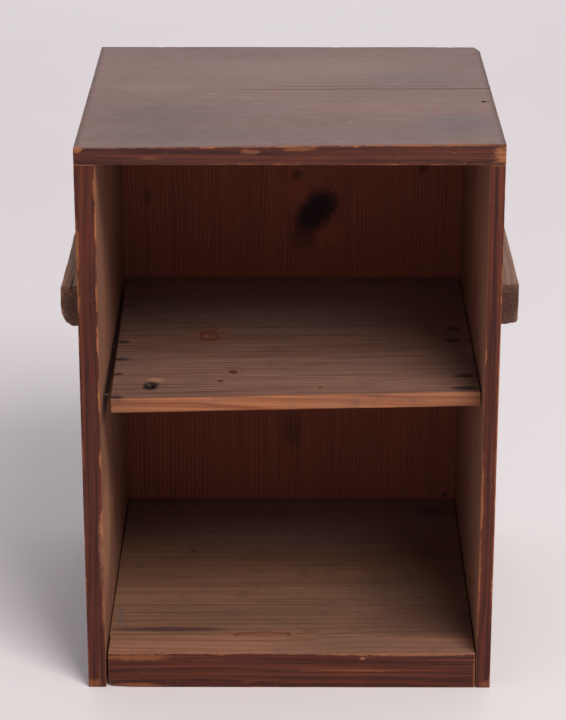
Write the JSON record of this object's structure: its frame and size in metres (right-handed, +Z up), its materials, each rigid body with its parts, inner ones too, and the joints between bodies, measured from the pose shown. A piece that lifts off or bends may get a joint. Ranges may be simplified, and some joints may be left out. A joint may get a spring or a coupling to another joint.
{
  "type": "miniature wardrobe",
  "caption": "Small open-fronted softwood cabinet with one fixed shelf, a square rail under the opening, a nailed-on back and a rounded batten along the outside of each side.",
  "frame": {"origin": "on the surface that the cabinet stands on, under the centre of its footprint with the battens", "axes": "+Z up, +Y from the open front to the back, +X to the right seen from the front"},
  "size_m": [0.2096, 0.1844, 0.2694],
  "materials": {
    "stained_wood": "worn red-brown stain, satin",
    "bare_wood": "aged bare softwood, matt",
    "batten_wood": "rough grey-brown softwood, matt",
    "nail_iron": "dark oxidised wire nail"
  },
  "bodies": {
    "root": {"top_board": "stained_wood", "left_side": "stained_wood", "right_side": "stained_wood", "back_board": "bare_wood", "shelf": "bare_wood", "floor_board": "bare_wood", "front_rail": "stained_wood", "left_batten": "batten_wood", "right_batten": "batten_wood", "top_nails_left": "nail_iron", "top_nails_right": "nail_iron", "shelf_nails_left": "nail_iron", "shelf_nails_right": "nail_iron", "floor_nails_left": "nail_iron", "floor_nails_right": "nail_iron", "rail_nails_left": "nail_iron", "rail_nails_right": "nail_iron", "back_nails_left": "nail_iron", "back_nails_right": "nail_iron", "back_nails_floor": "nail_iron", "batten_nails_left": "nail_iron", "batten_nails_right": "nail_iron"}
  },
  "joints": []
}
